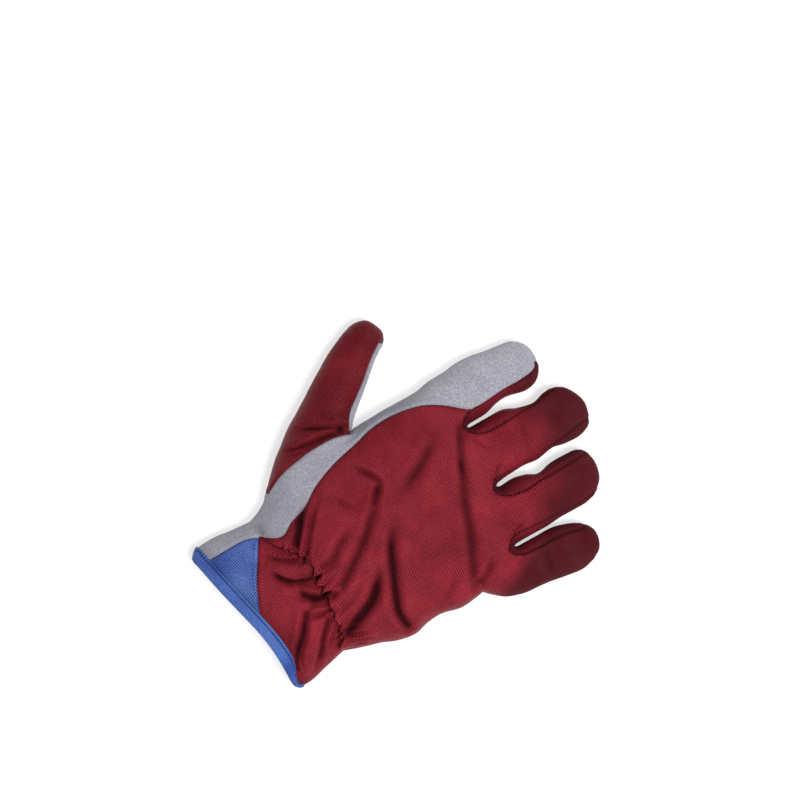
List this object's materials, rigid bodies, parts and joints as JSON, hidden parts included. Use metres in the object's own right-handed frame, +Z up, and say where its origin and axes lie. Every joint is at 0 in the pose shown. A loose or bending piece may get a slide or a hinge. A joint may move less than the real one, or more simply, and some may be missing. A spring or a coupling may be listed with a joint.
{
  "type": "work glove",
  "caption": "Right-hand work glove with a grey suede-like palm and index finger, ribbed red back, elastic wrist, ribbed vent and blue bound cuff, lying palm down.",
  "frame": {"origin": "middle of the glove's outline, on the surface that the palm lies on", "axes": "+Y along the fingers, +Z up out of the back of the hand, +X towards the little finger"},
  "size_m": [0.2108, 0.2666, 0.0277],
  "materials": {
    "grey_leather": "suede",
    "red_fabric": "ribbed",
    "vent_fabric": "ribbed",
    "binding_tape": "ribbed"
  },
  "bodies": {
    "root": {"palm_panel": "grey_leather", "thumb_front": "grey_leather", "back_panel": "red_fabric", "fourchette_index_middle": "red_fabric", "fourchette_middle_ring": "red_fabric", "fourchette_ring_little": "red_fabric", "thumb_back": "red_fabric", "vent_gusset": "vent_fabric", "cuff_binding": "binding_tape"}
  },
  "joints": []
}
